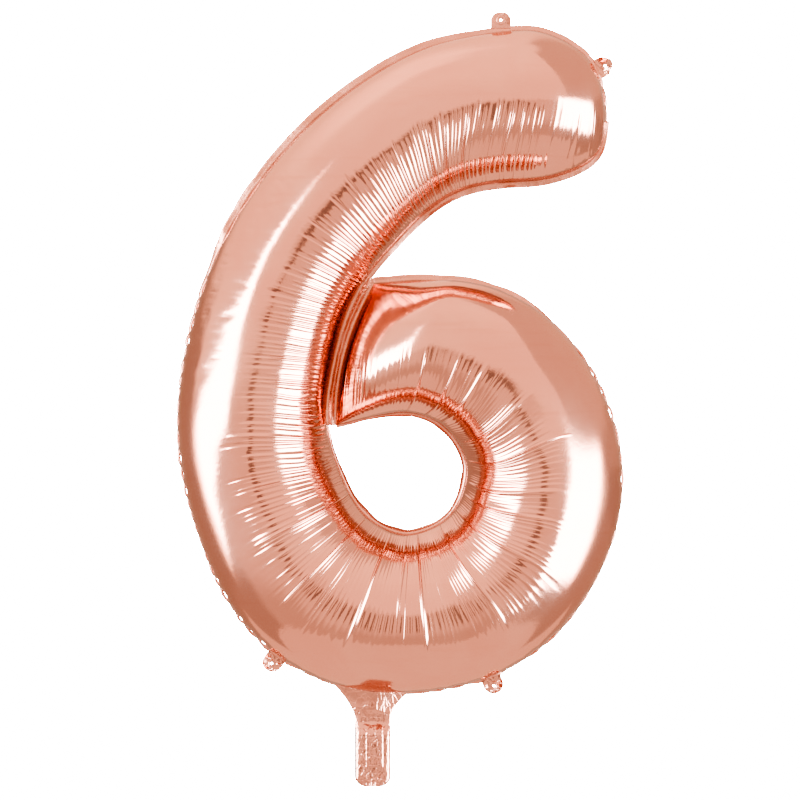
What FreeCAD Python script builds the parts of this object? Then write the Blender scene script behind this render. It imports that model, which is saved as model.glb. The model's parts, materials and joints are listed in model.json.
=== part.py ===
"""Foil number balloon, the digit 6, inflated.  Millimetres, +Z up, the digit faces -Y.

The balloon is two sheets of metallised film cut to the same outline and heat-sealed together.
The origin is the eyelet of the top hanging tab, which the balloon hangs from, in the seam plane.
Each solid is drawn 0.3 to 1 mm thick, where the real film is about 0.03 mm.
"""
import FreeCAD, Part
import math
import os

Vec = FreeCAD.Vector

# ---- driving dimensions -------------------------------------------------------------------
PANEL_T = 1.0          # wall of the front and rear panels
SEAL_T = 0.6           # two films fused flat, in the seam plane
LAP = 1.0              # how far the fused seal runs in under the panels
FULLNESS = 1.0         # depth of the tube over its width: 1 is a round section
WELD_RISE = 1.0        # stations over which the bowl rises from the weld to full depth

# The inflated stroke, from the tip of the arm round to the weld that closes the bowl.
# Each station is a line across the tube: the seam at its outer end (x, z), the seam at its
# inner end (x, z), and how far the line bows towards the end of the stroke.
STROKE = [
    ((120, -115), (120, -115), 0),
    ((116, -84), (115, -140), 0),
    ((97, -42), (98, -163), 0),
    ((50, -15), (55, -180), 0),
    ((-1, -14), (13, -184), 0),
    ((-81, -31), (-39, -192), 0),
    ((-158, -71), (-83, -217), 0),
    ((-229, -130), (-120, -253), 0),
    ((-294, -213), (-154, -294), 0),
    ((-340, -310), (-178, -342), 0),
    ((-364, -410), (-193, -401), 0),
    ((-365, -502), (-198, -462), 0),
    ((-340, -598), (-181, -522), 0),
    ((-290, -690), (-156, -563), 0),
    ((-204, -751), (-124, -583), 0),
    ((-104, -766), (-97, -585), 0),
    ((-3, -743), (-67, -572), 0),
    ((79, -681), (-47, -547), 0),
    ((128, -587), (-39, -515), 0),
    ((135, -490), (-46, -488), 0),
    ((101, -397), (-66, -463), 0),
    ((41, -333), (-92, -450), 0),
    ((-35, -301), (-123, -448), 4),
    ((-145, -301), (-188, -462), 12),
]
LAST = len(STROKE) - 1
NOTCH_AT = 8.1         # station of the arm's inner seam where the bowl's weld begins
HOLE_AT = 11.0         # station of the arm's inner seam where the weld reaches the hole
NECK_AT = (14.17, 14.92)   # stations of the outer seam between which the filling neck leaves
THROAT_AT = (14.10, 14.99)   # stations between which front and rear part to let the gas in

# Widths of the flat seal outside the tube, as (station, width).
OUTER_SEAL = [(0, 4), (3, 6), (4.3, 6.5), (5, 9), (8, 9), (10, 6), (12, 5), (19, 5), (21, 7), (23, 8)]
ARM_SEAL = [(0, 4), (2, 7), (5, 8), (8.1, 6)]
HOLE_SEAL = [(11, 2), (12, 9), (18, 9), (21, 9), (23, 3)]

# Hanging tabs.  The top one stands upright on the origin, the others stand square to the
# outer seam at a station.
TAB_STATIONS = {"tab_nose": 1.62, "tab_lower_left": 13.46, "tab_lower_right": 15.9}
TAB_W = 23.0
TAB_L = 15.5
TAB_T = 0.5
TAB_CORNER_R = 9.5
EYELET_R = 1.5
EYELET_FROM_FOLD = 6.5
TAB_GAP = 0.7          # bare film each side of a tab's fold line
FOLD_OFF_SEAL = 0.98   # from the seal's edge to a tab's fold line

# Filling neck, below the bowl.
NECK_X = -146.0
NECK_W = 41.0
NECK_T = 0.6
NECK_BULGE = 6.0       # how far each ply stands off the seam plane
FOLD_BULGE = 1.4       # the same at the fold line, where the film lies nearly flat
FLARE_BULGE = 7.8
FLARE_HEAD_IN = 1.0    # how far the flare's head stands inside the bowl's seam line
FLARE_HEAD_TRIM = 0.02   # stations the head gives up at each end of the opening
FLARE_FOOT_SPARE = 1.5   # how much wider than the neck the flare's foot is, each side
THROAT_BULGE = 10.0    # half depth of the gap left in the bowl's seam where the neck leaves
NECK_FOLD_Z = -797.0
NECK_FOLD_GAP = 2.2    # bare film each side of the neck's fold line
NECK_OPEN_Z = -815.0   # from here down the neck has its full bulge
NECK_END_Z = -873.0
NECK_CORNER_R = 12.0
VALVE_X = -144.0
VALVE_W = 20.0
VALVE_T = 0.3
VALVE_GAP = 0.2        # half the space between the two valve films at rest
VALVE_TOP_Z = -756.0
VALVE_FLAP_Z = -816.0  # where the flaps that move begin
VALVE_END_Z = -851.0

HALF_SEAL = SEAL_T / 2


# ---- the stroke ---------------------------------------------------------------------------
def spline_through(points):
    """A C2 curve in the seam plane whose parameter is the station number."""
    curve = Part.BSplineCurve()
    curve.interpolate(
        Points=[Vec(x, 0, z) for x, z in points],
        Parameters=[float(k) for k in range(len(points))],
    )
    return curve


OUTER = spline_through([s[0] for s in STROKE])
INNER = spline_through([s[1] for s in STROKE])


def ramp(table, u):
    """Straight-line interpolation in a list of (station, value)."""
    if u <= table[0][0]:
        return table[0][1]
    for (u0, w0), (u1, w1) in zip(table, table[1:]):
        if u <= u1:
            return w0 + (w1 - w0) * (u - u0) / (u1 - u0)
    return table[-1][1]


BOW = [(k, s[2]) for k, s in enumerate(STROKE)]


def depth_at(u):
    """Depth of one half of the tube: a half circle, coming down to the weld at the end."""
    half = OUTER.value(u).distanceToPoint(INNER.value(u)) / 2
    into_end = max(0.0, u - (LAST - WELD_RISE)) / WELD_RISE
    return FULLNESS * half * math.sqrt(max(0.0, 1 - into_end ** 2))


def section(u):
    """Middle, half width, direction to the outer seam and direction of travel at a station."""
    a = OUTER.value(u)
    b = INNER.value(u)
    across = (a - b).normalize()
    return (a + b) * 0.5, (a - b).Length / 2, across, Vec(-across.z, 0, across.x)


def outward(u, on_outer):
    """Direction in the seam plane square to a seam and out of the tube."""
    tangent = (OUTER if on_outer else INNER).tangent(u)[0]
    sign = 1 if on_outer else -1
    return Vec(sign * tangent.z, 0, -sign * tangent.x)


def throat_at(u):
    """How far the film stands off the seam plane where the neck leaves, and 0 elsewhere."""
    low, high = THROAT_AT
    place = (2 * u - low - high) / (high - low)
    return THROAT_BULGE * max(0.0, 1 - place ** 2) ** 2


def tube_point(u, angle, side):
    """A point of the tube's outside.  angle runs from 0 at the outer seam to pi at the inner
    one, side is -1 in front and 1 behind."""
    middle, half, across, along = section(u)
    angle = angle + (1 - angle / math.pi) * math.asin(throat_at(u) / half)
    spot = middle + across * (half * math.cos(angle))
    spot = spot + along * (ramp(BOW, u) * math.sin(angle) ** 2)
    spot.y = side * (HALF_SEAL + depth_at(u) * math.sin(angle))
    return spot


def inset_point(u, angle, side):
    """The point PANEL_T inside the tube's outside.  On the seams and on the weld it stays in
    the seal's plane, elsewhere it goes square to the wall."""
    spot = tube_point(u, angle, side)
    at_seam = angle in (0.0, math.pi)
    if at_seam or u == LAST:
        if at_seam:
            spot = spot - outward(u, angle == 0.0) * PANEL_T
        if u == LAST:
            spot = spot - section(u)[3] * PANEL_T
        return spot
    du, da = 0.01, 0.02
    run_u = tube_point(min(u + du, LAST), angle, side) - tube_point(u - du, angle, side)
    run_a = tube_point(u, angle + da, side) - tube_point(u, angle - da, side)
    spot = spot + run_u.cross(run_a).normalize() * (side * PANEL_T)
    spot.y = side * max(HALF_SEAL, side * spot.y)
    return spot


def stations():
    """Stations to model the wall at, close together where the ends round over."""
    tip = [0.04, 0.1, 0.2, 0.35, 0.6]
    low, high = THROAT_AT
    halves = [1 + 0.5 * k for k in range(2 * LAST - 3)]
    throat = [low + (high - low) * k / 12 for k in range(13)]
    body = sorted([u for u in halves if not low < u < high] + throat)
    weld = [LAST - d for d in (0.75, 0.5, 0.3, 0.15, 0.05, 0.0)]
    return tip + body + weld


def panel(side):
    """One inflated film: the space between an outside and an inside surface."""
    steps = 16
    grids = []
    for point in (tube_point, inset_point):
        rows = [
            [point(u, math.pi * k / steps, side) for k in range(steps + 1)]
            for u in stations()
        ]
        surface = Part.BSplineSurface()
        surface.interpolate(rows)
        grids.append(surface)
    outside, inside = grids
    faces = [outside.toShape(), inside.toShape()]
    u0, u1, v0, v1 = outside.bounds()
    for pick, value in (("u", u0), ("u", u1), ("v", v0), ("v", v1)):
        edges = []
        for surface in grids:
            iso = surface.uIso(value) if pick == "u" else surface.vIso(value)
            edges.append(iso.toShape())
        faces.append(Part.makeRuledSurface(edges[0], edges[1], 1))
    walls = Part.Compound(faces)
    walls.sewShape(1e-5)
    solid = Part.Solid(walls.Shells[0])
    solid.fix(1e-4, 1e-4, 1e-3)
    if solid.Volume < 0:
        solid.reverse()
    return solid


# ---- flat seals ---------------------------------------------------------------------------
def flat(points, thickness):
    """A flat plate in the seam plane, from a closed run of (x, z) points."""
    loop = [Vec(x, -thickness / 2, z) for x, z in points]
    face = Part.Face(Part.makePolygon(loop + [loop[0]]))
    return face.extrude(Vec(0, thickness, 0))


def beside(u, on_outer, distance):
    """The (x, z) point at a distance outside a seam."""
    spot = (OUTER if on_outer else INNER).value(u) + outward(u, on_outer) * distance
    return (spot.x, spot.z)


def ribbon(on_outer, start, end, widths, per_station=5):
    """A flat seal along a seam, from LAP inside it to the given width outside it."""
    count = max(2, round((end - start) * per_station))
    us = [start + (end - start) * k / count for k in range(count + 1)]
    near = [beside(u, on_outer, -LAP) for u in us]
    far = [beside(u, on_outer, ramp(widths, u)) for u in us]
    return flat(near + far[::-1], SEAL_T)


def weld_points():
    """The end of the bowl, from its outer seam to its inner seam."""
    steps = 12
    line = [tube_point(LAST, math.pi * k / steps, -1) for k in range(steps + 1)]
    return [(p.x, p.z) for p in line]


def weld_strip():
    """The valley between the arm and the end of the bowl, where front and rear meet."""
    bowl_side = weld_points()
    count = 12
    step = (HOLE_AT - NOTCH_AT) / count
    arm_side = [INNER.value(NOTCH_AT + step * k) for k in range(count + 1)]
    arm_side = [(p.x, p.z) for p in arm_side]
    return flat(bowl_side + arm_side[::-1], SEAL_T)


def clean(shape):
    """One solid with its flat faces joined up."""
    shape = shape.removeSplitter()
    if len(shape.Solids) == 1:
        return shape.Solids[0]
    return shape


def seals():
    """The seal round the outside, the ring round the hole, and the strip along the weld."""
    outer_a = ribbon(True, 0.0, NECK_AT[0], OUTER_SEAL)
    outer_b = ribbon(True, NECK_AT[1], LAST, OUTER_SEAL)
    arm = ribbon(False, 0.0, NOTCH_AT, ARM_SEAL)
    hole = ribbon(False, HOLE_AT, LAST, HOLE_SEAL)
    weld = weld_strip()
    outer = outer_a.fuse([arm, outer_b]).cut([weld])
    hole = hole.cut([weld])
    return clean(outer), clean(hole), clean(weld)


# ---- tabs ---------------------------------------------------------------------------------
def tab_root(name):
    """Middle of a tab's fold line (x, z), and its outward direction in degrees above +X."""
    if name == "tab_top":
        return (0.0, -EYELET_FROM_FOLD), 90.0
    u = TAB_STATIONS[name]
    out = outward(u, True)
    spot = beside(u, True, ramp(OUTER_SEAL, u) + FOLD_OFF_SEAL)
    return spot, math.degrees(math.atan2(out.z, out.x))


def tab(name):
    """A round-ended tongue of fused film with a hanging hole."""
    box = Part.makeBox(TAB_W, TAB_T, TAB_L - TAB_GAP, Vec(-TAB_W / 2, -TAB_T / 2, TAB_GAP))
    corners = []
    for edge in box.Edges:
        spot = edge.CenterOfMass
        if abs(spot.z - TAB_L) < 1e-6 and abs(abs(spot.x) - TAB_W / 2) < 1e-6:
            corners.append(edge)
    tongue = box.makeFillet(TAB_CORNER_R, corners)
    start = Vec(0, -TAB_T, EYELET_FROM_FOLD)
    tongue = tongue.cut(Part.makeCylinder(EYELET_R, TAB_T * 2, start, Vec(0, 1, 0)))
    root, degrees = tab_root(name)
    tongue.rotate(Vec(0, 0, 0), Vec(0, 1, 0), 90.0 - degrees)
    tongue.translate(Vec(root[0], 0, root[1]))
    return clean(tongue)


# ---- filling neck and valve ---------------------------------------------------------------
def film_edge(left, right, bulge, side):
    """Closed crescent between two ends (x, z): a film's cut edge, NECK_T thick."""
    chord = Vec(right[0] - left[0], 0, right[1] - left[1]).normalize()
    arcs = []
    for drop in (0.0, NECK_T):
        start = Vec(left[0], side * HALF_SEAL, left[1]) + chord * (2 * drop)
        end = Vec(right[0], side * HALF_SEAL, right[1]) - chord * (2 * drop)
        crown = (start + end) * 0.5
        crown.y = side * (HALF_SEAL + bulge - drop)
        arcs.append((Part.Arc(start, crown, end).toShape(), start, end))
    (outside, a0, a1), (inside, b0, b1) = arcs
    return Part.Wire([outside, Part.makeLine(a1, b1), inside, Part.makeLine(b0, a0)])


def neck_edge(z, bulge, side, spare=0.0):
    half = NECK_W / 2 + spare
    return film_edge((NECK_X - half, z), (NECK_X + half, z), bulge, side)


def flare(side):
    """The funnel of film between the bowl's seam and the neck's fold line.  Its head stands in
    the throat."""
    left = beside(NECK_AT[0] + FLARE_HEAD_TRIM, True, -FLARE_HEAD_IN)
    right = beside(NECK_AT[1] - FLARE_HEAD_TRIM, True, -FLARE_HEAD_IN)
    head = film_edge(left, right, FLARE_BULGE, side)
    foot = neck_edge(NECK_FOLD_Z + NECK_FOLD_GAP, FOLD_BULGE, side, FLARE_FOOT_SPARE)
    return Part.makeLoft([head, foot], True, True)


def neck(side):
    """One ply of the neck, with a rounded end, open at the mouth."""
    top = neck_edge(NECK_FOLD_Z - NECK_FOLD_GAP, FOLD_BULGE, side)
    full = neck_edge(NECK_OPEN_Z, NECK_BULGE, side)
    shoulder = Part.makeLoft([top, full], True, True)
    sleeve = Part.Face(full).extrude(Vec(0, 0, NECK_END_Z - NECK_OPEN_Z))
    deep = 4 * NECK_BULGE
    tall = NECK_OPEN_Z - NECK_END_Z
    box = Part.makeBox(NECK_W, deep, tall, Vec(NECK_X - NECK_W / 2, -deep / 2, NECK_END_Z))
    corners = [
        edge for edge in box.Edges
        if abs(edge.CenterOfMass.z - NECK_END_Z) < 1e-6 and abs(edge.CenterOfMass.y) < 1e-6
    ]
    sleeve = sleeve.common(box.makeFillet(NECK_CORNER_R, corners))
    return clean(shoulder.fuse(sleeve))


def valve_film(side, top, bottom):
    """One of the two clear films of the self-sealing valve."""
    near = VALVE_GAP if side > 0 else -VALVE_GAP - VALVE_T
    return Part.makeBox(VALVE_W, VALVE_T, top - bottom, Vec(VALVE_X - VALVE_W / 2, near, bottom))


# ---- build --------------------------------------------------------------------------------
def build():
    parts = {}
    parts["front_panel"] = panel(-1)
    parts["rear_panel"] = panel(1)
    parts["outer_seal"], parts["hole_seal"], parts["junction_weld"] = seals()
    for name in ("tab_top", *TAB_STATIONS):
        parts[name] = tab(name)
    for word, side in (("front", -1), ("rear", 1)):
        parts["flare_" + word] = flare(side)
        parts["neck_" + word] = neck(side)
        inlet_end = NECK_FOLD_Z + NECK_FOLD_GAP
        parts["valve_inlet_" + word] = valve_film(side, VALVE_TOP_Z, inlet_end)
        parts["valve_flap_" + word] = valve_film(side, VALVE_FLAP_Z, VALVE_END_Z)
    return parts


def main():
    os.makedirs("parts", exist_ok=True)
    for name, shape in build().items():
        shape.exportStep("parts/" + name + ".step")
        print(name, shape.isValid(), len(shape.Solids), round(shape.Volume), "mm3")
    for name in ("tab_top", *TAB_STATIONS):
        (x, z), degrees = tab_root(name)
        turn = math.radians(degrees)
        eye_x = x + EYELET_FROM_FOLD * math.cos(turn)
        eye_z = z + EYELET_FROM_FOLD * math.sin(turn)
        print(f"{name}: fold ({x:.2f}, {z:.2f}) at {degrees:.2f} deg, eyelet ({eye_x:.2f}, {eye_z:.2f})")


main()
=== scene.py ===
"""Looks of the foil number balloon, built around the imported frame.  Shapes are worked out in
millimetres, as in the part's source, and turned into metres when a mesh is made."""
import json
import math

import bmesh
import bpy
import numpy as np
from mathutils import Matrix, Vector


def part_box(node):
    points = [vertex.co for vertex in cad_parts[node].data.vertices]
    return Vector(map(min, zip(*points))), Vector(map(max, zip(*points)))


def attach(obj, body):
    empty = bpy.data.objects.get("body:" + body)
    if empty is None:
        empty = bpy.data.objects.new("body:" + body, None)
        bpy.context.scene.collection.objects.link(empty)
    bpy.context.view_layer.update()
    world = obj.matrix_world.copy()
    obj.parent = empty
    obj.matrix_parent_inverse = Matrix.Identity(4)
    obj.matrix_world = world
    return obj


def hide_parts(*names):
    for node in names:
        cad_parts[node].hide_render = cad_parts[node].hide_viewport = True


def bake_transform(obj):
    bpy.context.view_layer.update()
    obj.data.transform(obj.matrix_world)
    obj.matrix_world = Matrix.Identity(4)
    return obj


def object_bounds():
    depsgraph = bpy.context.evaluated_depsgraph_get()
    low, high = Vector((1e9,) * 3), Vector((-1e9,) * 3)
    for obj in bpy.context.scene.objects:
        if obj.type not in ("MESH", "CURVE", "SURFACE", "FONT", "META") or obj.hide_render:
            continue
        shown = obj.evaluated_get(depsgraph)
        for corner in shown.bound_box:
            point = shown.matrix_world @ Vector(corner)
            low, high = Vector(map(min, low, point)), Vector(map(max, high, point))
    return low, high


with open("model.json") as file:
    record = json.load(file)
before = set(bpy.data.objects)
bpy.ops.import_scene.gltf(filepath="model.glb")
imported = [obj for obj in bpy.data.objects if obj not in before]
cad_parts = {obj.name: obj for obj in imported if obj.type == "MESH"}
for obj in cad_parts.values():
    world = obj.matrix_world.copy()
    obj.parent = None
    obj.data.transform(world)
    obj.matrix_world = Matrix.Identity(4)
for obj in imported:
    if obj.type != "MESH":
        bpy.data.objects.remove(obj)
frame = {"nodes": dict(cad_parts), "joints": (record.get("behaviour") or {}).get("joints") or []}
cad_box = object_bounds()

MM = 0.001
FRONT, REAR = -1, 1
SEED = 6

# ---- the balloon's outline, as in the part's source ------------------------------------------
STROKE = [
    ((120, -115), (120, -115), 0),
    ((116, -84), (115, -140), 0),
    ((97, -42), (98, -163), 0),
    ((50, -15), (55, -180), 0),
    ((-1, -14), (13, -184), 0),
    ((-81, -31), (-39, -192), 0),
    ((-158, -71), (-83, -217), 0),
    ((-229, -130), (-120, -253), 0),
    ((-294, -213), (-154, -294), 0),
    ((-340, -310), (-178, -342), 0),
    ((-364, -410), (-193, -401), 0),
    ((-365, -502), (-198, -462), 0),
    ((-340, -598), (-181, -522), 0),
    ((-290, -690), (-156, -563), 0),
    ((-204, -751), (-124, -583), 0),
    ((-104, -766), (-97, -585), 0),
    ((-3, -743), (-67, -572), 0),
    ((79, -681), (-47, -547), 0),
    ((128, -587), (-39, -515), 0),
    ((135, -490), (-46, -488), 0),
    ((101, -397), (-66, -463), 0),
    ((41, -333), (-92, -450), 0),
    ((-35, -301), (-123, -448), 4),
    ((-145, -301), (-188, -462), 12),
]
LAST = len(STROKE) - 1
TIP = 0.04             # the grid's first station, close to the arm's end
NOTCH_AT = 8.1         # where the weld starts on the inner seam, between the arm and the bowl
HOLE_AT = 11.0         # where it ends, and the six's hole begins
NECK_AT = (14.17, 14.92)
THROAT_AT = (14.10, 14.99)
THROAT_BULGE = 10.0
HALF_SEAL = 0.3
LAP = 1.0              # how far the flanges reach into the tube
# Widths of the seals, by station.
OUTER_SEAL = [(0, 4), (3, 6), (4.3, 6.5), (5, 9), (8, 9), (10, 6), (12, 5), (19, 5), (21, 7),
              (23, 8)]
ARM_SEAL = [(0, 4), (2, 7), (5, 8), (8.1, 6)]
HOLE_SEAL = [(11, 2), (12, 9), (18, 9), (21, 9), (23, 3)]

# ---- the film's pleats and puckers -----------------------------------------------------------
PLEAT = 5.6            # mean pitch of the fine pleats, along the ridge of the tube
PLEAT_WIDTHS = (0.6, 1.4)
PLEAT_HEIGHTS = (0.5, 1.5)
ONSET_SPREAD = 5       # how much the pleats' starts differ, in degrees
GROWTH = 16            # degrees over which a pleat reaches its height
SAMPLES = 6            # grid rows to a pleat
COLUMNS = 46
CROWDING = 0.06        # how much closer together the columns are near the seams
# Where the pleats begin, in degrees from the outer seam, and how high they are, by station.
ONSET = [(0, 90), (4, 90), (6, 92), (8.5, 94), (10.2, 88), (11, 76), (12, 70), (13, 65), (13.7, 56),
         (14.8, 60), (16, 58), (17, 60), (18, 67), (19, 75), (20, 86), (21, 88), (23, 94)]
HEIGHT = [(0, 0.05), (2, 0.08), (2.9, 0.12), (3.4, 0.8), (5, 0.9), (8, 0.75), (11, 0.65),
          (12, 0.5), (13, 0.26), (21, 0.26), (23, 0.15)]
# How far a pleat leans from the line across the tube by the time it nears the inner seam.
SKEW = [(0, 0), (1.5, 0.1), (3, 0.45), (4.5, 0.45), (5.5, 0.2), (6.5, 0.05), (9, 0), (10.8, 0.3),
        (12.3, 0.05), (14, -0.1), (15.2, -0.12), (16.3, -0.4), (17.5, -0.56), (19.2, -0.76),
        (20.9, -0.8), (21.8, -0.6), (22.5, -0.3), (23, 0)]
# Long creases across the bowl: station, where they start in degrees, and depth.
CREASES = [
    (10.8, 74, 0.7),
    (12.25, 72, 0.9),
    (13.08, 64, 1.0),
    (14.08, 58, 1.3),
    (14.73, 88, 0.5),
    (15.24, 58, 1.3),
    (16.3, 60, 1.1),
    (17.2, 80, 1.1),
    (17.9, 80, 0.9),
    (18.4, 80, 1.0),
    (19.2, 72, 1.3),
    (20.0, 86, 1.2),
    (20.9, 90, 1.1),
    (21.5, 95, 0.9),
    (22.1, 93, 0.7),
]
CREASE_BULGE = 0.0272  # rise of the film between two creases, as a share of the pleats' run
DEEP_SHARE = 0.5       # of all valleys, those that are deeper than the rest
DEEP_DEPTHS = (0.2, 0.8)
DEEP_FADE = [(11.5, 1), (13, 0.4)]
# Stations between which these come in, and between which they fade out again.
SHOULDER_SPAN = ((10, 11.2), (22, 22.8))
SHOULDER_DROP = 1.3
FACET_SPAN = ((20.2, 21.2), (22.1, 22.7))
FACET_DEPTH = 8.5
CRUMPLE_SPAN = ((7.0, 7.8), (9.6, 10.4))
CRUMPLE_DEPTH = 0.5

# Puckers of the outer seam: how strong they are, and their pitch, by station.
PUCKER = [(0, 0.7), (1.5, 0.5), (3, 0.12), (7, 0.15), (8.6, 0.7), (9.5, 1), (13.7, 1), (14.1, 0.3),
          (15, 0.3), (15.4, 1), (20.5, 1), (21.6, 0.8), (22.3, 0.6), (23, 0.4)]
PUCKER_PITCH = [(0, 14), (2, 20), (4, 60), (8, 40), (9, 17), (14, 17), (15, 24), (20, 24),
                (22, 50), (23, 40)]
PUCKER_SPREAD = (0.7, 1.35)
PUCKER_SIZES = (0.7, 1.6)
PUCKER_LEAST_ROWS = 3
PUCKER_RISE = 1.7      # how far the seam stands out between two gathers
GATHER_DEPTH = 1.3     # how far it is drawn in at one

# ---- the flanges -----------------------------------------------------------------------------
# How far the outer flange curls back, in radians.
CURL = [(0, 1.1), (1.2, 0.9), (1.5, 0.12), (8.3, 0.12), (8.7, 1.2), (14, 1.25), (20.6, 1.25),
        (21.2, 0.2), (23, 0.05)]
HOLE_CURL = 0.95
TABS_AT = (1.62, 13.46, 15.9)
TAB_ROOM = 0.17        # half of the run, in stations, over which the flange is flat at a tab
BEAD_AT = 0.12         # where the seal's raised inner bead runs, as a share of its width
BEAD_RISE = 0.45
FLANGE_SHARES = (0.0, BEAD_AT, 0.3, 0.55, 0.8, 1.0)
FLANGE_FILM = 0.3
WELD_STEPS = 127
WELD_COLUMNS = 25
WELD_LENGTH = 165
WELD_LAP = 0.12        # how far it goes in under the bowl and the arm, as a share of its width
WELD_OVERRUN = 0.05    # how far the weld runs on past the outer seam, as a share of its run
WELD_RUN_ON = 7.0      # the same, in mm
WELD_FOLD = 0.12       # depth of the weld's fold, as a share of its width

# ---- the hanging tabs ------------------------------------------------------------------------
TAB_W = 23.0
TAB_L = 15.5
TAB_LAP = 3.0
EYELET_R = 1.5
EYELET_FROM_FOLD = 6.5
PRESSED_R = 4.2        # the ring pressed round the eyelet
TAB_FILM = 0.25
TAB_SPOKES = 145
TAB_RINGS = 22
# Node, body, how far the tab is crumpled out of its plane, and its twist in radians.
TABS = [
    ("tab_top", "top_tab", 0.3, 0.12),
    ("tab_nose", "nose_tab", 1.8, 0.9),
    ("tab_lower_left", "lower_left_tab", 3.8, -0.4),
    ("tab_lower_right", "lower_right_tab", 3.4, 0.5),
]

# ---- the filling neck ------------------------------------------------------------------------
NECK_X = -146.0
NECK_W = 41.0
NECK_FOLD_Z = -797.0
NECK_FOLD_GAP = 2.2
NECK_OPEN_Z = -815.0
NECK_END_Z = -873.0
NECK_CORNER_R = 12.0
NECK_BULGE = 6.0
FOLD_BULGE = 1.4
NECK_FILM = 0.25
FLARE_ROWS = 45
NECK_ROWS = 110
END_SHARE = 0.999      # of the neck's length, kept short of the CAD's end
PLY_GAP = 0.25         # between a ply and the seam plane, at the neck's edges
PLY_LEAST = 0.2        # the same, at the bottom of the deepest wrinkle
POUCH_Z = -782.0       # the film's pouch in the flare
VALVE_X = -144.0
VALVE_W = 20.0
VALVE_END_Z = -851.0

# ---- colours and the camera ------------------------------------------------------------------
ROSE = (0.64, 0.33, 0.26, 1)
ROSE_PALE = (0.66, 0.36, 0.285, 1)
ROSE_DEEP = (0.60, 0.295, 0.225, 1)
ROSE_RIM = (0.84, 0.66, 0.58, 1)
CLEAR_DULL = (0.80, 0.80, 0.78, 1)
CLEAR = (0.88, 0.88, 0.87, 1)
WHITE = (1, 1, 1, 1)
ROOM_TINT = (1.0, 0.67, 0.52, 1)
ROOM_GAIN = 1.22
SOFT_BOX = 11.0
BACKDROP = 30.0        # brightness of the white that the camera sees
CAMERA_AT = (-0.115, -3.2, -0.433)
CAMERA_VIEW_W = 0.912  # width of the view at the seam plane, in metres
SENSOR_W = 36.0
FLOOR_HALF = 6.0
FLOOR_BELOW = 0.05


# ---- small helpers ---------------------------------------------------------------------------
def ramp(table, u):
    """Straight-line interpolation in a list of (station, value)."""
    return np.interp(u, [row[0] for row in table], [row[1] for row in table])


def ease(t):
    """0 below 0, 1 above 1, and smooth between."""
    t = np.clip(t, 0.0, 1.0)
    return t * t * (3 - 2 * t)


def plateau(value, rise, fall):
    """Rises smoothly from 0 to 1 over one span of values, and falls back over another."""
    up = ease((value - rise[0]) / (rise[1] - rise[0]))
    return up * (1 - ease((value - fall[0]) / (fall[1] - fall[0])))


def zigzag(value):
    """A straight-sided wave of period 2, from -0.5 to 0.5."""
    return np.abs(np.mod(value, 2) - 1) - 0.5


def lumps(a, b, seed):
    """A smooth random field, -1 to 1, whose lumps are about one unit of a and b across."""
    table = np.random.default_rng(seed).uniform(-1, 1, (64, 64))
    a, b = np.broadcast_arrays(a, b)
    i, j = np.floor(a).astype(int), np.floor(b).astype(int)
    s, t = ease(a - i), ease(b - j)

    def corner(di, dj):
        return table[(i + di) % 64, (j + dj) % 64]

    near = corner(0, 0) * (1 - s) + corner(1, 0) * s
    far = corner(0, 1) * (1 - s) + corner(1, 1) * s
    return near * (1 - t) + far * t


def creased(a, b, seed):
    """A random field of flat facets with sharp folds between them, 0 to about 1."""
    folds = 1 - np.abs(lumps(a, b, seed)) * 2
    finer = 1 - np.abs(lumps(a * 2.1 + 7, b * 2.1 + 3, seed + 1)) * 2
    return np.clip(folds, 0, 1) + 0.4 * np.clip(finer, 0, 1)


def unit(vectors):
    """The vectors at length 1."""
    return vectors / np.maximum(np.linalg.norm(vectors, axis=-1, keepdims=True), 1e-9)


# ---- the tube --------------------------------------------------------------------------------
class Seam:
    """A C2 curve in the seam plane whose parameter is the station number."""

    def __init__(self, points):
        self.points = np.array(points, float)
        count = len(self.points)
        matrix = np.eye(count)
        right = np.zeros_like(self.points)
        for k in range(1, count - 1):
            matrix[k, k - 1:k + 2] = (1, 4, 1)
            right[k] = 3 * (self.points[k + 1] - self.points[k - 1])
        ends = np.array([-11, 18, -9, 2]) / 6
        right[0] = ends @ self.points[:4]
        right[-1] = -ends @ self.points[:-5:-1]
        self.slopes = np.linalg.solve(matrix, right)

    def at(self, u):
        k = np.clip(np.floor(u).astype(int), 0, LAST - 1)
        t = (u - k)[..., None]
        start, end = self.points[k], self.points[k + 1]
        go, come = self.slopes[k], self.slopes[k + 1]
        rise = t * t * (3 - 2 * t)
        return start * (1 - rise) + end * rise + go * t * (1 - t) ** 2 - come * t * t * (1 - t)

    def tangent(self, u):
        step = 0.005
        return unit(self.at(np.minimum(u + step, LAST)) - self.at(np.maximum(u - step, 0)))


OUTER = Seam([s[0] for s in STROKE])
INNER = Seam([s[1] for s in STROKE])
BOW = [(k, s[2]) for k, s in enumerate(STROKE)]


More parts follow.
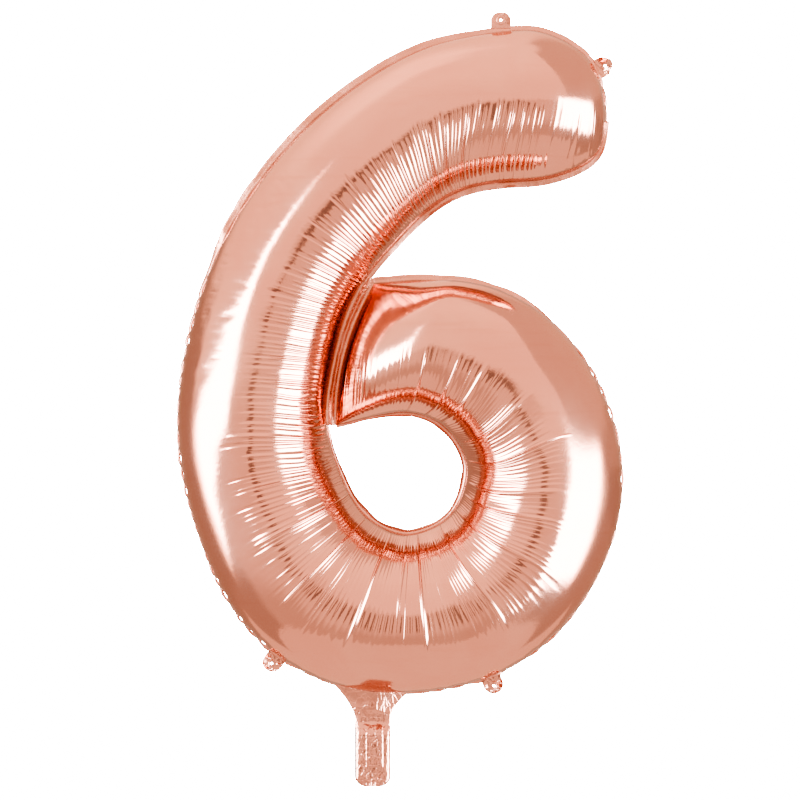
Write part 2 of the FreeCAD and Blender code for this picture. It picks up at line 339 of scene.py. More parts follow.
def tube(u, angle, side):
    """Points on the tube's smooth outside.  angle runs from 0 at the outer seam to pi."""
    u, angle = np.broadcast_arrays(u, angle)
    outer, inner = OUTER.at(u), INNER.at(u)
    half = np.linalg.norm(outer - inner, axis=-1) / 2
    across = (outer - inner) / (2 * half)[..., None]
    along = np.stack([-across[..., 1], across[..., 0]], -1)
    low, high = THROAT_AT
    place = (2 * u - low - high) / (high - low)
    throat = THROAT_BULGE * np.maximum(0, 1 - place ** 2) ** 2
    angle = angle + (1 - angle / math.pi) * np.arcsin(throat / half)
    depth = half * np.sqrt(np.maximum(0, 1 - np.maximum(0, u - LAST + 1) ** 2))
    flat = (outer + inner) / 2 + across * (half * np.cos(angle))[..., None]
    flat = flat + along * (ramp(BOW, u) * np.sin(angle) ** 2)[..., None]
    return np.stack([flat[..., 0], side * (HALF_SEAL + depth * np.sin(angle)), flat[..., 1]], -1)


def outward(u, on_outer):
    """Direction in the seam plane square to a seam and out of the tube, as (x, z)."""
    tangent = (OUTER if on_outer else INNER).tangent(u)
    sign = 1 if on_outer else -1
    return np.stack([sign * tangent[..., 1], -sign * tangent[..., 0]], -1)


def run_along(points):
    """Length along a line of points, from its start to each."""
    steps = np.linalg.norm(np.diff(points, axis=0), axis=1)
    return np.concatenate([[0], np.cumsum(steps)])


def pleat_rows():
    """Stations of the grid's rows, SAMPLES to each pleat, with pleats of random width."""
    body = np.linspace(TIP, LAST - 1, 4000)
    end = LAST - 1 + np.sin(np.linspace(0, math.pi / 2, 400))[1:]
    fine = np.concatenate([body, end])
    run = run_along(tube(fine, math.pi / 2, FRONT))
    count = round(run[-1] / PLEAT)
    widths = np.random.default_rng(SEED).uniform(*PLEAT_WIDTHS, count)
    edges = np.concatenate([[0], np.cumsum(widths)]) * run[-1] / widths.sum()
    rows = np.interp(np.arange(count * SAMPLES + 1) / SAMPLES, np.arange(count + 1), edges)
    return np.interp(rows, run, fine)


ROWS = pleat_rows()
PLEATS = (len(ROWS) - 1) // SAMPLES
PLEAT_OF_ROW = np.minimum(np.arange(len(ROWS)) // SAMPLES, PLEATS - 1)
PLACE_IN_PLEAT = np.arange(len(ROWS)) / SAMPLES - PLEAT_OF_ROW


def pucker_rows():
    """Rows of the grid at which the outer seam is gathered: a list of row numbers."""
    rng = np.random.default_rng(SEED + 1)
    run = run_along(OUTER.at(ROWS))
    gathers = [0]
    while True:
        last = gathers[-1]
        pitch = ramp(PUCKER_PITCH, ROWS[last]) * rng.uniform(*PUCKER_SPREAD)
        row = int(np.searchsorted(run, run[last] + pitch))
        row = max(last + PUCKER_LEAST_ROWS, row)
        if row >= len(ROWS) - SAMPLES:
            return np.array(gathers + [len(ROWS) - 1])
        gathers.append(row)


GATHERS = pucker_rows()
GATHERS_SO_FAR = np.searchsorted(GATHERS, np.arange(len(ROWS)), side="right")
SCALLOP = np.clip(GATHERS_SO_FAR - 1, 0, len(GATHERS) - 2)
IN_SCALLOP = (np.arange(len(ROWS)) - GATHERS[SCALLOP]) / np.diff(GATHERS)[SCALLOP]


def scallop_profile():
    """How far the outer seam stands out of its smooth line, for each row."""
    size = np.random.default_rng(SEED + 2).uniform(*PUCKER_SIZES, len(GATHERS))[SCALLOP]
    arch = 4 * IN_SCALLOP * (1 - IN_SCALLOP)
    return ramp(PUCKER, ROWS) * (size * PUCKER_RISE * arch - GATHER_DEPTH)


SCALLOPS = scallop_profile()


# ---- relief of a panel -----------------------------------------------------------------------
def angles():
    """Angles of the grid's columns, closer together near the seams."""
    t = np.linspace(0, 1, COLUMNS)
    return math.pi * (t - CROWDING * np.sin(2 * math.pi * t))


def fine_pleats(angle, seed):
    """Rounded ridges between sharp valleys, from the onset to the inner seam."""
    rng = np.random.default_rng(seed)
    late = rng.normal(0, ONSET_SPREAD, PLEATS)[PLEAT_OF_ROW][:, None]
    size = rng.uniform(*PLEAT_HEIGHTS, PLEATS)[PLEAT_OF_ROW][:, None]
    start = ramp(ONSET, ROWS)[:, None] + late
    grown = ease((angle - start) / GROWTH)
    near_seam = ease((angle - 140) / 25)
    arch = 1 - np.abs(2 * PLACE_IN_PLEAT - 1) ** 2.2
    halves = 1 - np.abs(4 * np.mod(PLACE_IN_PLEAT, 0.5) - 1) ** 1.5
    height = ramp(HEIGHT, ROWS)[:, None] * size
    shape = arch[:, None] * (1 + 0.2 * near_seam) + 0.25 * halves[:, None] * near_seam
    return height * grown * shape


def strong_pleats(angle, seed):
    """Here and there a valley is much deeper than its neighbours."""
    rng = np.random.default_rng(seed)
    chosen = rng.uniform(size=PLEATS + 1) < DEEP_SHARE
    deep = np.where(chosen, rng.uniform(*DEEP_DEPTHS, PLEATS + 1), 0)
    start = ramp(ONSET, ROWS)[:, None] + 4
    nearest = np.rint(np.arange(len(ROWS)) / SAMPLES).astype(int)
    away = np.abs(np.arange(len(ROWS)) - nearest * SAMPLES)
    groove = deep[nearest] * np.maximum(0, 1 - away / 1.6) * ramp(DEEP_FADE, ROWS)
    return -groove[:, None] * ease((angle - start) / 10)


def long_creases(angle):
    """Sharp folds across the bowl, with the film bulging between them."""
    number = np.arange(len(ROWS))
    lines = [int(round(np.searchsorted(ROWS, u) / SAMPLES)) * SAMPLES for u, _, _ in CREASES]
    out = np.zeros((len(ROWS), angle.shape[-1]))
    for (_, start, depth), line in zip(CREASES, lines):
        groove = np.maximum(0, 1 - np.abs(number - line) / 2.5)
        out -= depth * groove[:, None] * plateau(angle, (start, start + 10), (166, 176))
    for first, second, crease in zip(lines, lines[1:], CREASES):
        s = np.clip((number - first) / (second - first), 0, 1)
        bulge = CREASE_BULGE * PLEAT * (second - first) / SAMPLES
        window = plateau(angle, (crease[1] - 6, crease[1] + 24), (158, 176))
        out += bulge * (4 * s * (1 - s))[:, None] * window
    return out


def shoulder(angle):
    """The bowl's pleated part falls away behind a soft edge where the pleats begin."""
    past = angle - ramp(ONSET, ROWS)[:, None]
    strength = plateau(ROWS, *SHOULDER_SPAN)[:, None]
    return -SHOULDER_DROP * strength * plateau(past, (0, 14), (25, 65))


def facet(angle):
    """The film is stretched flatter along the top of the bowl, towards its welded end."""
    window = plateau(ROWS, *FACET_SPAN)
    share = np.clip((angle - 3) / 77, 0, 1)
    return -FACET_DEPTH * window[:, None] * np.sin(math.pi * share)


def dents(angle, seed):
    """Low waves in the smooth film, and a crumpled patch where the stem was folded."""
    run = run_along(tube(ROWS, math.pi / 2, FRONT))[:, None]
    low = 0.7 * lumps(run / 75, angle / 38, seed) + 0.16 * lumps(run / 28, angle / 14, seed + 1)
    patch = plateau(ROWS, *CRUMPLE_SPAN)[:, None] * plateau(angle, (22, 36), (58, 72))
    return low + CRUMPLE_DEPTH * creased(run / 17, angle / 11, seed + 5) * patch


def relief(angle, seed):
    """How far the film stands off the smooth tube, in mm, for each row and column."""
    out = fine_pleats(angle, seed) + strong_pleats(angle, seed + 10) + long_creases(angle)
    out = out + shoulder(angle) + facet(angle) + dents(angle, seed + 20)
    at_weld = 1 - ease((ROWS - LAST + 0.1) / 0.1)[:, None]
    at_tip = ease((ROWS - TIP) / 0.5)[:, None]
    at_seams = plateau(angle, (0, 5), (152, 176))
    out = out * at_weld * at_tip * at_seams
    return out + SCALLOPS[:, None] * np.exp(-(angle / 13) ** 2) * at_weld


# ---- meshes ----------------------------------------------------------------------------------
def mesh_object(name, points, faces, material):
    """A smooth-shaded object from points in millimetres."""
    mesh = bpy.data.meshes.new(name)
    mesh.from_pydata((np.reshape(points, (-1, 3)) * MM).tolist(), [], faces)
    mesh.shade_smooth()
    mesh.materials.append(material)
    thing = bpy.data.objects.new(name, mesh)
    bpy.context.scene.collection.objects.link(thing)
    return thing


def quads(index, flip=False):
    """Faces between the neighbours of a grid of vertex numbers."""
    corners = [index[:-1, :-1], index[1:, :-1], index[1:, 1:], index[:-1, 1:]]
    if flip:
        corners = corners[::-1]
    return np.stack(corners, -1).reshape(-1, 4).tolist()


def normals_of(points):
    """Unit normals of a grid of points."""
    along = np.gradient(points, axis=0)
    across = np.gradient(points, axis=1)
    return unit(np.cross(along, across))


def film(name, middle, thickness, material, ring=False):
    """A closed thin shell on both sides of a grid of points.  With ring, the grid's first and
    last rows are the same line, so it closes on itself."""
    n, m, _ = middle.shape
    offset = normals_of(middle) * thickness / 2
    points = np.concatenate([(middle + offset).reshape(-1, 3), (middle - offset).reshape(-1, 3)])
    top = np.arange(n * m).reshape(n, m)
    if ring:
        top[-1] = top[0]
    low = top + n * m
    faces = quads(top) + quads(low, flip=True)
    for edge in (0, -1):
        rim = np.stack([top[:, edge], low[:, edge]], 1)
        faces += quads(rim, flip=edge == 0)
    if not ring:
        for edge in (0, -1):
            rim = np.stack([top[edge], low[edge]], 1)
            faces += quads(rim, flip=edge == -1)
    thing = mesh_object(name, points, faces, material)
    if ring:
        drop_loose(thing.data)
    return thing


def drop_loose(mesh):
    """Removes the vertices that no face uses."""
    work = bmesh.new()
    work.from_mesh(mesh)
    bmesh.ops.delete(work, geom=[v for v in work.verts if not v.link_faces], context="VERTS")
    work.to_mesh(mesh)
    work.free()


# ---- nodes -----------------------------------------------------------------------------------
class Nodes:
    """Adds shader nodes to a tree in few words."""

    def __init__(self, tree):
        self.tree = tree
        tree.nodes.clear()

    def add(self, kind, inputs=None, **settings):
        node = self.tree.nodes.new(kind)
        for key, value in settings.items():
            setattr(node, key, value)
        for key, value in (inputs or {}).items():
            if isinstance(value, bpy.types.NodeSocket):
                self.tree.links.new(value, node.inputs[key])
            else:
                node.inputs[key].default_value = value
        return node

    def math(self, operation, a, b=0.0):
        return self.add("ShaderNodeMath", {0: a, 1: b}, operation=operation).outputs[0]

    def step(self, value, low, high, start=0.0, end=1.0):
        """Goes smoothly from start to end as value goes from low to high."""
        if low > high:
            low, high, start, end = high, low, end, start
        inputs = {"Value": value, "From Min": low, "From Max": high, "To Min": start, "To Max": end}
        return self.add("ShaderNodeMapRange", inputs, interpolation_type="SMOOTHSTEP").outputs[0]

    def noise(self, vector, scale, detail=3.0, rough=0.5, distortion=0.0):
        inputs = {"Scale": scale, "Detail": detail, "Roughness": rough, "Distortion": distortion}
        inputs["Vector"] = vector
        return self.add("ShaderNodeTexNoise", inputs).outputs["Fac"]

    def blend(self, factor, a, b):
        """Mix of two colours."""
        return self.add("ShaderNodeMix", {0: factor, 6: a, 7: b}, data_type="RGBA").outputs[2]

    def mapped(self, vector, **inputs):
        """Coordinates scaled or turned by a Mapping node's inputs."""
        return self.add("ShaderNodeMapping", {"Vector": vector, **inputs}).outputs[0]

    def bump(self, height, distance, strength, below=None):
        inputs = {"Height": height, "Distance": distance, "Strength": strength}
        if below is not None:
            inputs["Normal"] = below
        return self.add("ShaderNodeBump", inputs).outputs[0]


def new_material(name):
    material = bpy.data.materials.new(name)
    material.use_nodes = True
    return material, Nodes(material.node_tree)


def finish_metal(nodes, colour, roughness, normal):
    """A metal shader under the film's clear lacquer."""
    inputs = {
        "Base Color": colour,
        "Roughness": roughness,
        "Normal": normal,
        "Metallic": 1.0,
        "Specular Tint": ROSE_RIM,
        "Coat Weight": 0.5,
        "Coat Roughness": 0.3,
    }
    shader = nodes.add("ShaderNodeBsdfPrincipled", inputs)
    nodes.add("ShaderNodeOutputMaterial", {"Surface": shader.outputs[0]})


def foil_material():
    """Bright metallised film: faint streaks from rolling, hair-fine scuffs and micro wrinkles."""
    material, nodes = new_material("rose_gold_foil")
    place = nodes.add("ShaderNodeTexCoord").outputs["Object"]
    cloudy = nodes.noise(place, 9.0, detail=4.0, rough=0.6, distortion=0.6)
    streaks = nodes.noise(nodes.mapped(place, Scale=(6.0, 6.0, 90.0)), 1.0, distortion=0.3)
    colour = nodes.blend(nodes.step(cloudy, 0.35, 0.7), ROSE, ROSE_PALE)
    colour = nodes.blend(nodes.step(streaks, 0.55, 0.8, 0.0, 0.35), colour, ROSE_DEEP)
    roughness = nodes.step(cloudy, 0.3, 0.75, 0.07, 0.15)
    wrinkles = nodes.noise(place, 160.0, detail=4.0, rough=0.55, distortion=0.4)
    scuffs = nodes.noise(place, 900.0, rough=0.6)
    coarse = nodes.bump(wrinkles, 0.0003, 0.28)
    finish_metal(nodes, colour, roughness, nodes.bump(scuffs, 0.00005, 0.3, coarse))
    return material


def seal_material():
    """Heat-sealed film: duller, with the fine crossed ribs of the sealing bar."""
    material, nodes = new_material("heat_sealed_foil")
    place = nodes.add("ShaderNodeTexCoord").outputs["Object"]
    ribs = []
    for turn in (0.8, -0.8):
        turned = nodes.mapped(place, Rotation=(0, turn, 0))
        inputs = {"Vector": turned, "Scale": 260.0, "Distortion": 0.8, "Detail": 1.0}
        wave = nodes.add("ShaderNodeTexWave", inputs, bands_direction="X")
        ribs.append(wave.outputs["Fac"])
    grid = nodes.math("MULTIPLY", ribs[0], ribs[1])
    cloudy = nodes.noise(place, 45.0, detail=4.0, rough=0.6, distortion=0.5)
    colour = nodes.blend(nodes.step(cloudy, 0.3, 0.7), ROSE_DEEP, ROSE)
    roughness = nodes.step(cloudy, 0.3, 0.7, 0.2, 0.34)
    puckers = nodes.bump(nodes.noise(place, 220.0), 0.0004, 0.35)
    finish_metal(nodes, colour, roughness, nodes.bump(grid, 0.00012, 0.35, puckers))
    return material


def creased_material():
    """Film that has been handled: bright, with small sharp creases."""
    material, nodes = new_material("creased_foil")
    place = nodes.add("ShaderNodeTexCoord").outputs["Object"]
    inputs = {"Vector": nodes.mapped(place, Scale=(1.0, 0.4, 0.7)), "Scale": 170.0}
    cells = nodes.add("ShaderNodeTexVoronoi", inputs, feature="DISTANCE_TO_EDGE")
    edges = nodes.step(cells.outputs["Distance"], 0.0, 0.16)
    cloudy = nodes.noise(place, 70.0, detail=4.0, rough=0.6, distortion=0.8)
    colour = nodes.blend(nodes.step(cloudy, 0.35, 0.7), ROSE, ROSE_PALE)
    roughness = nodes.step(cloudy, 0.3, 0.75, 0.08, 0.2)
    folds = nodes.bump(edges, 0.0004, 0.4)
    crinkles = nodes.noise(place, 420.0, detail=4.0, rough=0.6, distortion=0.6)
    finish_metal(nodes, colour, roughness, nodes.bump(crinkles, 0.0002, 0.4, folds))
    return material


def valve_material():
    """The clear film of the self-sealing valve, with a little haze and fine wrinkles."""
    material, nodes = new_material("clear_valve_film")
    place = nodes.add("ShaderNodeTexCoord").outputs["Object"]
    haze = nodes.noise(place, 120.0)
    colour = nodes.blend(nodes.step(haze, 0.3, 0.7), CLEAR_DULL, CLEAR)
    roughness = nodes.step(haze, 0.3, 0.7, 0.08, 0.22)
    normal = nodes.bump(nodes.noise(place, 300.0), 0.0002, 0.3)
    inputs = {"Base Color": colour, "Roughness": roughness, "Normal": normal, "Alpha": 0.45}
    shader = nodes.add("ShaderNodeBsdfPrincipled", inputs)
    nodes.add("ShaderNodeOutputMaterial", {"Surface": shader.outputs[0]})
    return material


# ---- pieces ----------------------------------------------------------------------------------
def skin(name, node, side, seed, material):
    """One inflated panel with its pleats."""
    angle = angles()
    degrees = np.degrees(angle)[None, :]
    lean = ramp(SKEW, ROWS)[:, None] * ease((degrees - 70) / 85)
    wander = 0.03 * lumps(ROWS[:, None] * 4, degrees / 25, seed + 30) * ease((degrees - 90) / 50)
    inside = plateau(ROWS, (0.1, 1.1), (LAST - 0.8, LAST - 0.1))
    stations = np.clip(ROWS[:, None] + lean + wander * inside[:, None], TIP, LAST)
    base = tube(stations, angle[None, :], side)
    square = normals_of(base) * side
    square[-1] = (0, side, 0)
    points = base + square * relief(degrees, seed)[..., None]
    index = np.arange(len(ROWS) * COLUMNS).reshape(len(ROWS), COLUMNS)
    piece = mesh_object(name, points, quads(index, flip=side == FRONT), material)
    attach(piece, "balloon")
    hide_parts(node)
    return piece


def seam_line(rows, on_outer):
    """Where a seam runs, for some rows: points and outward directions as (x, z)."""
    u = ROWS[rows]
    direction = outward(u, on_outer)
    spot = (OUTER if on_outer else INNER).at(u)
    if on_outer:
        spot = spot + direction * SCALLOPS[rows][:, None]
    return spot, direction


def flange_tilt(rows, seed):
    """How far the flange curls out of the seam plane in each scallop, in radians."""
    rng = np.random.default_rng(seed)
    size = rng.uniform(0.85, 1.2, len(GATHERS))
    size = size * np.where(rng.uniform(size=len(GATHERS)) < 0.8, 1, 1.2)
    arch = 0.8 + 0.2 * np.sin(math.pi * IN_SCALLOP[rows])
    flat = sum(np.exp(-((ROWS[rows] - u) / TAB_ROOM) ** 4) for u in TABS_AT)
    return ramp(CURL, ROWS[rows]) * size[SCALLOP[rows]] * arch * (1 - 0.95 * flat)


def flange_strip(name, spot, direction, width, tilt, seed, material):
    """A strip of sealed film along a seam, which laps into the tube."""
    run = run_along(spot)

    def line(reach, rise):
        """The strip's points at a distance from the seam."""
        flat = spot + direction * reach[:, None]
        return np.stack([flat[:, 0], rise, flat[:, 1]], -1)

    columns = [line(np.full_like(run, -LAP), 0 * run)]
    for share in FLANGE_SHARES:
        turn = tilt * share
        reach = width * share
        ripple = 0.22 * share * lumps(run / 4.5, np.full_like(run, share * 1.5), seed)
        ripple = ripple + 0.5 * share * lumps(run / 19, np.full_like(run, share), seed + 1)
        bead = -BEAD_RISE if share == BEAD_AT else 0.0
        columns.append(line(reach * np.cos(turn), reach * np.sin(turn) + ripple + bead))
    return film(name, np.stack(columns, 1), FLANGE_FILM, material)


def outer_flange(material):
    """The seal round the arm and the bowl, in two strips that end at the neck."""
    arm = np.flatnonzero(ROWS <= NOTCH_AT)
    left = np.flatnonzero(ROWS <= NECK_AT[0])
    right = np.flatnonzero(ROWS >= NECK_AT[1])
    arm_spot, arm_out = seam_line(arm, False)
    left_spot, left_out = seam_line(left, True)
    arm_tilt = 0.25 * lumps(ROWS[arm] * 2.2, 0 * ROWS[arm], SEED + 41)
    spot = np.concatenate([arm_spot[::-1], left_spot])
    direction = np.concatenate([arm_out[::-1], left_out])
    width = np.concatenate([ramp(ARM_SEAL, ROWS[arm])[::-1], ramp(OUTER_SEAL, ROWS[left])])
    tilt = np.concatenate([arm_tilt[::-1], flange_tilt(left, SEED + 40)])
    long = flange_strip("outer_flange_arm", spot, direction, width, tilt, SEED + 42, material)
    spot, direction = seam_line(right, True)
    width = ramp(OUTER_SEAL, ROWS[right])
    tilt = flange_tilt(right, SEED + 40)
    short = flange_strip("outer_flange_bowl", spot, direction, width, tilt, SEED + 43, material)
    for piece in (long, short):
        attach(piece, "balloon")
        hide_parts("outer_seal")


def hole_flange(material):
    """The seal round the six's hole, curled forwards."""
    rows = np.flatnonzero(ROWS >= HOLE_AT)
    spot, direction = seam_line(rows, False)
    width = ramp(HOLE_SEAL, ROWS[rows])
    curl = HOLE_CURL * plateau(ROWS[rows], (HOLE_AT, HOLE_AT + 0.4), (LAST - 0.4, LAST))
    tilt = curl + 0.22 * lumps(ROWS[rows] * 1.7, 0 * ROWS[rows], SEED + 50)
    piece = flange_strip("hole_flange", spot, direction, width, tilt, SEED + 51, material)
    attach(piece, "balloon")
    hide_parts("hole_seal")


def weld_strip(material):
    """The valley of film between the arm and the end of the bowl.  It runs from the bowl's
    edge (share 0) to the arm's (share 1), and laps a little under both."""
    steps = np.linspace(-WELD_OVERRUN, 1, WELD_STEPS)
    end = np.full_like(steps, LAST)
    past = np.maximum(-steps, 0)[:, None] / WELD_OVERRUN * WELD_RUN_ON
    bowl = tube(end, np.maximum(steps, 0) * math.pi, FRONT)[:, [0, 2]]
    bowl = bowl + outward(end, True) * past
    arm = INNER.at(NOTCH_AT + (HOLE_AT - NOTCH_AT) * steps)
    share = np.linspace(-WELD_LAP, 1 + WELD_LAP, WELD_COLUMNS)[None, :]
    flat = bowl[:, None] * (1 - share[..., None]) + arm[:, None] * share[..., None]
    run = np.broadcast_to(steps[:, None] * WELD_LENGTH, flat.shape[:2])
    wide = np.linalg.norm(bowl - arm, axis=1)[:, None]
    fold = np.abs(share + 0.04 * lumps(run / 20, 0 * run, SEED + 61) - 0.5) * 2 - 0.5
    crumple = 0.25 * (creased(run / 9, flat[..., 0] / 6, SEED + 60) - 0.4)
    rise = (WELD_FOLD * wide * fold + crumple) * plateau(share, (0, 0.3), (0.7, 1))
    middle = np.stack([flat[..., 0], rise, flat[..., 1]], -1)
    piece = film("weld_strip", middle, FLANGE_FILM, material)
    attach(piece, "balloon")
    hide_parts("junction_weld")


# ---- hanging tabs ----------------------------------------------------------------------------
def in_tongue(x, y):
    """Whether a place, measured from the eyelet, lies within the tab's outline."""
    half, top = TAB_W / 2, TAB_L - EYELET_FROM_FOLD
    corner = half - 2
    x = abs(x)
    if x > half or y > top or y < -EYELET_FROM_FOLD - TAB_LAP:
        return False
    if x > half - corner and y > top - corner:
        return math.hypot(x - half + corner, y - top + corner) <= corner
    return True


def tongue_reach(turn):
    """From the eyelet to the tab's outline, in a direction measured from the tab's own +x."""
    low, high = 0.0, 40.0
    for _ in range(40):
        middle = (low + high) / 2
        if in_tongue(middle * math.cos(turn), middle * math.sin(turn)):
            low = middle
        else:
            high = middle
    return low


def tab(node, body, crumple, twist, seed, material):
    """A tongue of film with a pressed ring round its eyelet.  crumple is how far it folds out
    of its plane, in mm, and twist how far its free end turns, in radians."""
    joint = next(j for j in frame["joints"] if j["child"] == body)
    fold = np.array(joint["pos_m"]) / MM
    side_way = np.array(joint["axis"])
    forwards = np.array((0.0, -1.0, 0.0))
    up_way = np.cross(side_way, forwards)
    centre = np.mean(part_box(node), axis=0) / MM
    if np.dot(up_way, centre - fold) < 0:
        up_way = -up_way
    turn = np.linspace(0, 2 * math.pi, TAB_SPOKES)
    share = np.linspace(0, 1, TAB_RINGS)[None, :]
    reach = np.array([tongue_reach(a) for a in turn])[:, None]
    radius = EYELET_R + (reach - EYELET_R) * share ** 0.85
    x = radius * np.cos(turn)[:, None]
    y = radius * np.sin(turn)[:, None] + EYELET_FROM_FOLD
    ring = 0.35 * np.exp(-((radius - PRESSED_R) / 0.7) ** 2)
    dish = 0.2 * ease(PRESSED_R + 0.2 - radius)
    loose = ease((radius - PRESSED_R - 0.4) / 3) * ease(y / 5)
    folds = 0.6 * (creased(x / 7 + 3, y / 9, seed) - 0.5)
    fan = 0.8 * zigzag(x / 6.5 + 0.08 * y + seed * 0.37)
    turned = twist * ease((y - 1) / 12)
    lift = ring + dish + loose * crumple * (folds + fan) + x * np.sin(turned)
    spread = (x * np.cos(turned))[..., None] * side_way
    middle = fold + spread + y[..., None] * up_way + lift[..., None] * forwards
    piece = film(node + "_film", middle, TAB_FILM, material, ring=True)
    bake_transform(piece)
    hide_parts(node)


# ---- filling neck ----------------------------------------------------------------------------
def neck_section(z, across, side):
    """Points across one ply of the neck at a height."""
    below = np.clip(NECK_END_Z + NECK_CORNER_R - z, 0, NECK_CORNER_R)
    half = NECK_W / 2 - NECK_CORNER_R + np.sqrt(NECK_CORNER_R ** 2 - below ** 2)
    opened = ease((NECK_FOLD_Z - z) / (NECK_FOLD_Z - NECK_OPEN_Z))
    bulge = FOLD_BULGE + (NECK_BULGE - FOLD_BULGE) * opened
    arch = 1 - np.abs(across) ** 12
    return np.stack([NECK_X + half * across, side * (PLY_GAP + bulge * arch), z], -1)


def neck_wrinkles(x, z, across, seed):
    """Folds of the handled film, in mm off its smooth shape."""
    run = x - NECK_X
    at_fold = np.exp(-((z - NECK_FOLD_Z) / 9) ** 2)
    at_end = ease((NECK_END_Z + 24 - z) / 14)
    fan = zigzag(run / 7.5 + 0.03 * (z - NECK_FOLD_Z) + 0.5 * lumps(z / 14, 0 * z, seed))
    across_fold = creased(run / 22, z / 4.5, seed + 1) - 0.5
    random = creased(run / 8 + 5, z / 11, seed + 2) - 0.5
    small = creased(run / 4.5 + 9, z / 6, seed + 3) - 0.5
    out = 0.45 * fan + 0.8 * at_fold * across_fold + 0.45 * random + 0.55 * at_end * small
    out = out + 2.6 * np.exp(-((z - POUCH_Z) / 9) ** 2 - (run / 15) ** 2)
    # the valve's outline shows through the film below the fold
    valve = ease((VALVE_W / 2 - np.abs(x - VALVE_X)) / 1.5) * ease((z - VALVE_END_Z) / 1.5)
    out = out + 0.9 * valve * ease((NECK_FOLD_Z - 6 - z) / 6)
    return out * np.sqrt(np.maximum(0, 1 - across ** 2)) * ease((NECK_FOLD_Z + 30 - z) / 20)


def neck_ply(word, side, seed, material):
    """One ply of film from the throat in the bowl's seam, through the fold, to the mouth."""
    across = np.linspace(-1, 1, 81)
    low, high = THROAT_AT
    stations = low + (high - low) * (across + 1) / 2
    foot_z = NECK_FOLD_Z + NECK_FOLD_GAP
    head = tube(stations, 0.0, side)
    foot = neck_section(np.full_like(across, foot_z), across, side)
    inward = -0.55 * (head[:, 0] - NECK_X)
    leave = np.stack([inward, -0.2 * head[:, 1], np.full_like(across, -16.0)], -1)
    arrive = np.array((0.0, 0.0, -30.0))
    rows = []
    for t in np.linspace(0, 1, FLARE_ROWS + 1)[:-1]:
        blend = head * (1 - ease(t)) + foot * ease(t)
        rows.append(blend + leave * t * (1 - t) ** 2 - arrive * t * t * (1 - t))
    for t in np.linspace(0, 1, NECK_ROWS):
        z = foot_z - (foot_z - NECK_END_Z) * END_SHARE * math.sin(t * math.pi / 2)
        rows.append(neck_section(np.full_like(across, z), across, side))
    middle = np.stack(rows)
    lift = neck_wrinkles(middle[..., 0], middle[..., 2], across[None, :], seed)
    middle[..., 1] = side * np.maximum(PLY_LEAST, side * middle[..., 1] + lift)
    piece = film("neck_" + word + "_film", middle, NECK_FILM, material)
    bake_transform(piece)
    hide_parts("flare_" + word, "neck_" + word)


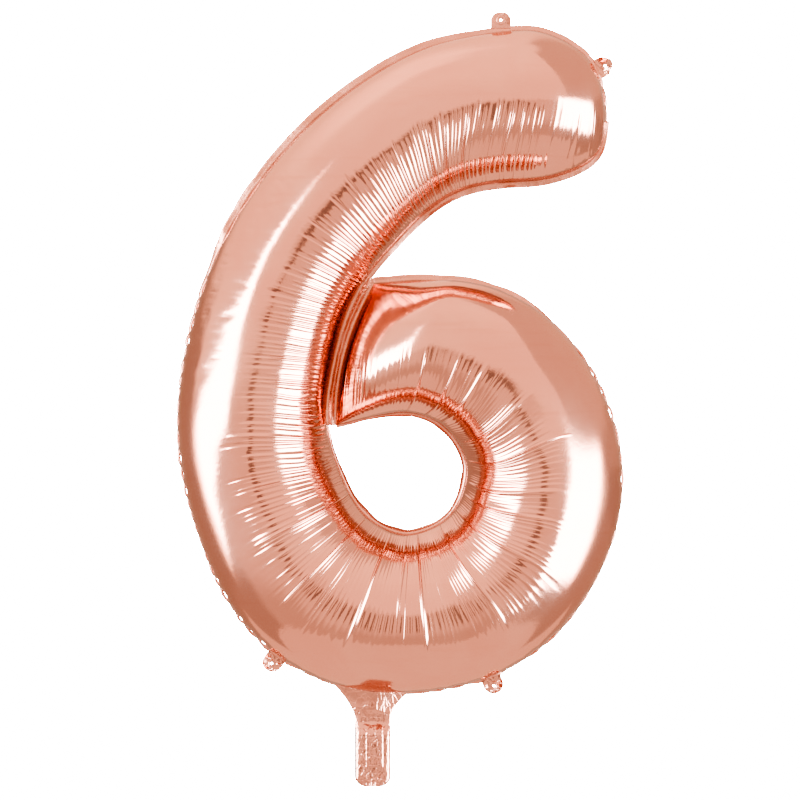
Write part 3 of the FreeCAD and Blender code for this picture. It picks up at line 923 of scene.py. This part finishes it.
# ---- studio ----------------------------------------------------------------------------------
def studio():
    """White for the camera, and for the film to reflect: two soft boxes, a pale overhead panel,
    a pale floor, and the darker room.  Azimuth and height are in degrees, with azimuth 0 in
    front of the balloon and positive to the right."""
    world = bpy.data.worlds.new("studio")
    bpy.context.scene.world = world
    world.use_nodes = True
    nodes = Nodes(world.node_tree)
    direction = nodes.add("ShaderNodeTexCoord").outputs["Generated"]
    x, y, z = nodes.add("ShaderNodeSeparateXYZ", {0: direction}).outputs
    to_degrees = 180 / math.pi
    toward = nodes.math("MULTIPLY", y, -1.0)
    azimuth = nodes.math("MULTIPLY", nodes.math("ARCTAN2", x, toward), to_degrees)
    height = nodes.math("MULTIPLY", nodes.math("ARCSINE", z), to_degrees)
    away = nodes.math("ABSOLUTE", azimuth)

    def window(*edges):
        """1 inside a box of (value, outside, inside) edges, 0 outside it."""
        mask = None
        for value, outside, inside in edges:
            part = nodes.step(value, outside, inside)
            mask = part if mask is None else nodes.math("MULTIPLY", mask, part)
        return mask

    level = nodes.step(height, 4.0, 8.0, 1.08, 1.38)
    shear = nodes.math("MULTIPLY", nodes.math("SUBTRACT", away, 55.0), 0.4)
    sheared = nodes.math("ADD", height, shear)
    layers = [
        # the floor's far part is darker than the part below
        (window((height, -49, -47), (height, -18, -36)), 0.78),
        # the overhead panel: paler up and to the left
        (window((height, 20, 60)), 1.55),
        (window((height, 35, 60), (height, 84, 72), (azimuth, -170, -140), (azimuth, -55, -85)), 2.0),
        # the dark room behind the object
        (window((away, 100, 112), (height, 24, 12)), 0.52),
        (window((azimuth, 92, 112), (height, -2, 4), (height, 34, 22)), 0.68),
        # a dimmer panel high on the right, with a crisp edge
        (window((azimuth, 49, 52), (azimuth, 175, 150), (height, 9, 15), (height, 82, 72)), 0.93),
        # dark below the soft boxes
        (window((azimuth, -68, -84), (height, -22, -30)), 0.58),
        (window((azimuth, 56, 64), (azimuth, 140, 120), (height, -52, -47), (height, -26, -32)), 0.6),
        (window((azimuth, 98, 112), (height, -50, -44), (height, -8, -14)), 0.6),
        # the floor, with a crisp edge
        (window((height, -48.5, -49.5)), 1.06),
        (window((away, 128, 134), (height, -29, -31)), 1.06),
        # the soft boxes
        (window((azimuth, -31, -39), (azimuth, -106, -84), (sheared, -9, -5), (sheared, 22, 15)), SOFT_BOX),
        (window((azimuth, 38, 44), (azimuth, 102, 84), (height, -35, -29), (height, 13, 5)), SOFT_BOX),
        # the camera on its stand
        (window((away, 5.5, 3.5), (height, -27, -22), (height, 4, 2)), 0.34),
    ]
    for mask, value in layers:
        gain = nodes.math("MULTIPLY", mask, nodes.math("SUBTRACT", value, level))
        level = nodes.math("ADD", level, gain)
    bright = nodes.step(level, 2.5, 8.0)
    tint = nodes.blend(bright, ROOM_TINT, WHITE)
    level = nodes.math("MULTIPLY", level, ROOM_GAIN)
    light = nodes.add("ShaderNodeBackground", {"Color": tint, "Strength": level})
    white = nodes.add("ShaderNodeBackground", {"Color": WHITE, "Strength": BACKDROP})
    seen = nodes.add("ShaderNodeLightPath").outputs["Is Camera Ray"]
    both = nodes.add("ShaderNodeMixShader", {0: seen, 1: light.outputs[0], 2: white.outputs[0]})
    nodes.add("ShaderNodeOutputWorld", {"Surface": both.outputs[0]})


def floor():
    """A plain pale floor under the hanging balloon, seen only by the camera."""
    z = cad_box[0][2] - FLOOR_BELOW
    corners = [(-1, -1), (1, -1), (1, 1), (-1, 1)]
    points = np.array([(cx * FLOOR_HALF, cy * FLOOR_HALF, z) for cx, cy in corners]) / MM
    material, nodes = new_material("pale_floor")
    glow = nodes.add("ShaderNodeEmission", {"Color": WHITE, "Strength": BACKDROP})
    nodes.add("ShaderNodeOutputMaterial", {"Surface": glow.outputs[0]})
    thing = mesh_object("floor", points, [[0, 1, 2, 3]], material)
    thing.visible_glossy = False
    thing.visible_diffuse = False
    thing.visible_transmission = False
    thing.visible_shadow = False


def camera():
    """Square on to the digit, level with its middle."""
    data = bpy.data.cameras.new("camera")
    data.sensor_width = SENSOR_W
    data.lens = -SENSOR_W * CAMERA_AT[1] / CAMERA_VIEW_W
    thing = bpy.data.objects.new("camera", data)
    thing.location = CAMERA_AT
    thing.rotation_euler = (math.pi / 2, 0, 0)
    bpy.context.scene.collection.objects.link(thing)
    bpy.context.scene.camera = thing


def main():
    camera()
    studio()
    floor()
    foil, seal, creased_film = foil_material(), seal_material(), creased_material()
    skin("front_skin", "front_panel", FRONT, SEED + 100, foil)
    skin("rear_skin", "rear_panel", REAR, SEED + 200, foil)
    outer_flange(seal)
    hole_flange(seal)
    weld_strip(seal)
    for k, (node, body, crumple, twist) in enumerate(TABS):
        tab(node, body, crumple, twist, SEED + 70 + k, creased_film if k else seal)
    for word, side in (("front", FRONT), ("rear", REAR)):
        neck_ply(word, side, SEED + 80 + side, creased_film)
    valve = valve_material()
    # the valve's films are the CAD's own
    for name, node in frame["nodes"].items():
        if name.startswith("valve_"):
            node.data.materials.clear()
            node.data.materials.append(valve)
    view = bpy.context.scene.view_settings
    view.view_transform = "AgX"
    view.look = "AgX - High Contrast"


main()
